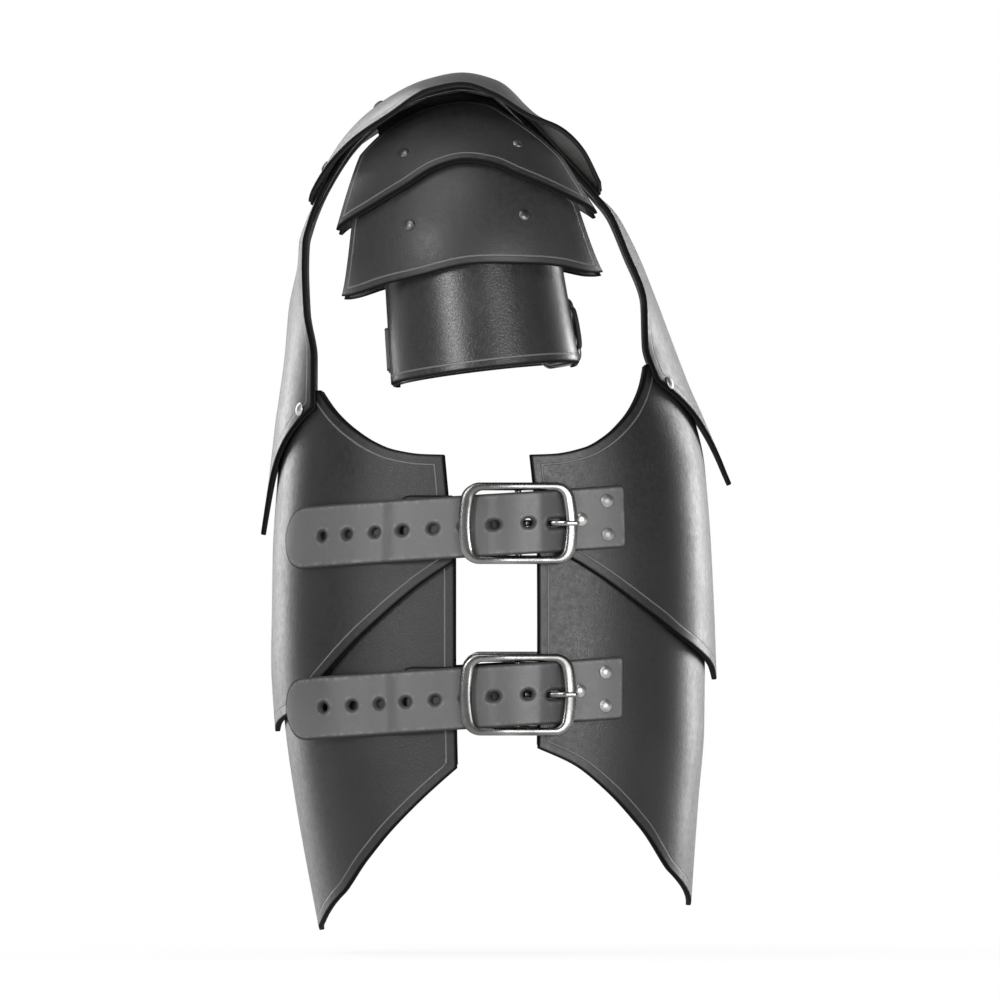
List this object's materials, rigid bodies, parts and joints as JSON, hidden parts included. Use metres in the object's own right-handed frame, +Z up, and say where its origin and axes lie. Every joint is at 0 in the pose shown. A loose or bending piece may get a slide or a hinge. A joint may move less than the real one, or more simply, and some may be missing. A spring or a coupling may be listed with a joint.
{
  "type": "leather breastplate",
  "caption": "Laminated leather body armour with a yoke, overlapping chest and back plates, buckled side straps, and lamed shoulders ending in strapped arm cuffs.",
  "frame": {"origin": "middle plane, at the height of the wearer's shoulders, where the yoke's shoulder straps rest", "axes": "+Z up, -Y the way the wearer faces, +X towards the wearer's left; the middle plane is X = 0"},
  "size_m": [0.5142, 0.3105, 0.5619],
  "materials": {
    "plate_leather": "black waxed vegetable-tanned leather, semi-matte",
    "strap_leather": "black strap leather, smooth",
    "lining_leather": "dark grey suede side of thin leather",
    "antique_steel": "antique silver, worn bright on the edges"
  },
  "bodies": {
    "breastplate": {"back_lower_plate": "plate_leather", "back_upper_plate": "plate_leather", "front_lower_plate": "plate_leather", "front_upper_plate": "plate_leather", "left_back_yoke_rivet": "antique_steel", "left_cap": "plate_leather", "left_front_yoke_rivet": "antique_steel", "left_lower_billet": "strap_leather", "left_lower_billet_rivet_1": "antique_steel", "left_lower_billet_rivet_2": "antique_steel", "left_lower_billet_rivet_3": "antique_steel", "left_lower_buckle": "antique_steel", "left_lower_chape": "strap_leather", "left_shoulder_leather": "lining_leather", "left_upper_billet": "strap_leather", "left_upper_billet_rivet_1": "antique_steel", "left_upper_billet_rivet_2": "antique_steel", "left_upper_billet_rivet_3": "antique_steel", "left_upper_buckle": "antique_steel", "left_upper_chape": "strap_leather", "right_back_yoke_rivet": "antique_steel", "right_cap": "plate_leather", "right_front_yoke_rivet": "antique_steel", "right_lower_billet": "strap_leather", "right_lower_billet_rivet_1": "antique_steel", "right_lower_billet_rivet_2": "antique_steel", "right_lower_billet_rivet_3": "antique_steel", "right_lower_buckle": "antique_steel", "right_lower_chape": "strap_leather", "right_shoulder_leather": "lining_leather", "right_upper_billet": "strap_leather", "right_upper_billet_rivet_1": "antique_steel", "right_upper_billet_rivet_2": "antique_steel", "right_upper_billet_rivet_3": "antique_steel", "right_upper_buckle": "antique_steel", "right_upper_chape": "strap_leather", "yoke": "plate_leather"},
    "left_upper_lame_body": {"left_upper_lame": "plate_leather"},
    "left_lower_lame_body": {"left_lower_lame": "plate_leather"},
    "left_cuff_body": {"left_arm_cuff": "plate_leather", "left_arm_strap": "strap_leather", "left_arm_chape": "strap_leather", "left_arm_buckle": "antique_steel"},
    "left_arm_prong_body": {"left_arm_prong": "antique_steel"},
    "left_upper_prong_body": {"left_upper_prong": "antique_steel"},
    "left_lower_prong_body": {"left_lower_prong": "antique_steel"},
    "right_upper_lame_body": {"right_upper_lame": "plate_leather"},
    "right_lower_lame_body": {"right_lower_lame": "plate_leather"},
    "right_cuff_body": {"right_arm_cuff": "plate_leather", "right_arm_strap": "strap_leather", "right_arm_chape": "strap_leather", "right_arm_buckle": "antique_steel"},
    "right_arm_prong_body": {"right_arm_prong": "antique_steel"},
    "right_upper_prong_body": {"right_upper_prong": "antique_steel"},
    "right_lower_prong_body": {"right_lower_prong": "antique_steel"}
  },
  "joints": [
    {"name": "left_upper_lame_raise", "type": "hinge", "parent": "breastplate", "child": "left_upper_lame_body", "pos_m": [0.1505, -0.0125, -0.1085], "axis": [0, -0.9962, -0.0872], "range_deg": [0, 9], "deforming": ["left_shoulder_leather"]},
    {"name": "left_lower_lame_raise", "type": "hinge", "parent": "left_upper_lame_body", "child": "left_lower_lame_body", "pos_m": [0.1505, -0.0125, -0.1085], "axis": [0, -0.9962, -0.0872], "range_deg": [0, 9]},
    {"name": "left_cuff_raise", "type": "hinge", "parent": "left_lower_lame_body", "child": "left_cuff_body", "pos_m": [0.1505, -0.0125, -0.1085], "axis": [0, -0.9962, -0.0872], "range_deg": [0, 9]},
    {"name": "left_arm_prong_turn", "type": "hinge", "parent": "left_cuff_body", "child": "left_arm_prong_body", "pos_m": [0.15588, 0.04236, -0.15237], "axis": [0.0254, 0.1609, -0.9866], "range_deg": [0, 4]},
    {"name": "left_upper_prong_turn", "type": "hinge", "parent": "breastplate", "child": "left_upper_prong_body", "pos_m": [0.18904, 0.01858, -0.27692], "axis": [0.0009, 0.0001, -1], "range_deg": [0, 4]},
    {"name": "left_lower_prong_turn", "type": "hinge", "parent": "breastplate", "child": "left_lower_prong_body", "pos_m": [0.18507, 0.01827, -0.38897], "axis": [-0.0002, 0, -1], "range_deg": [0, 4]},
    {"name": "right_upper_lame_raise", "type": "hinge", "parent": "breastplate", "child": "right_upper_lame_body", "pos_m": [-0.1505, -0.0125, -0.1085], "axis": [0, 0.9962, 0.0872], "range_deg": [0, 9], "deforming": ["right_shoulder_leather"]},
    {"name": "right_lower_lame_raise", "type": "hinge", "parent": "right_upper_lame_body", "child": "right_lower_lame_body", "pos_m": [-0.1505, -0.0125, -0.1085], "axis": [0, 0.9962, 0.0872], "range_deg": [0, 9]},
    {"name": "right_cuff_raise", "type": "hinge", "parent": "right_lower_lame_body", "child": "right_cuff_body", "pos_m": [-0.1505, -0.0125, -0.1085], "axis": [0, 0.9962, 0.0872], "range_deg": [0, 9]},
    {"name": "right_arm_prong_turn", "type": "hinge", "parent": "right_cuff_body", "child": "right_arm_prong_body", "pos_m": [-0.15588, 0.04236, -0.15237], "axis": [0.0254, -0.1609, 0.9866], "range_deg": [0, 4]},
    {"name": "right_upper_prong_turn", "type": "hinge", "parent": "breastplate", "child": "right_upper_prong_body", "pos_m": [-0.18904, 0.01858, -0.27692], "axis": [0.0009, -0.0001, 1], "range_deg": [0, 4]},
    {"name": "right_lower_prong_turn", "type": "hinge", "parent": "breastplate", "child": "right_lower_prong_body", "pos_m": [-0.18507, 0.01827, -0.38897], "axis": [-0.0002, 0, 1], "range_deg": [0, 4]}
  ],
  "couplings": [
    {"joint": "left_lower_lame_raise", "follows": "left_upper_lame_raise", "ratio": 1},
    {"joint": "left_cuff_raise", "follows": "left_upper_lame_raise", "ratio": 1},
    {"joint": "right_lower_lame_raise", "follows": "right_upper_lame_raise", "ratio": 1},
    {"joint": "right_cuff_raise", "follows": "right_upper_lame_raise", "ratio": 1}
  ]
}
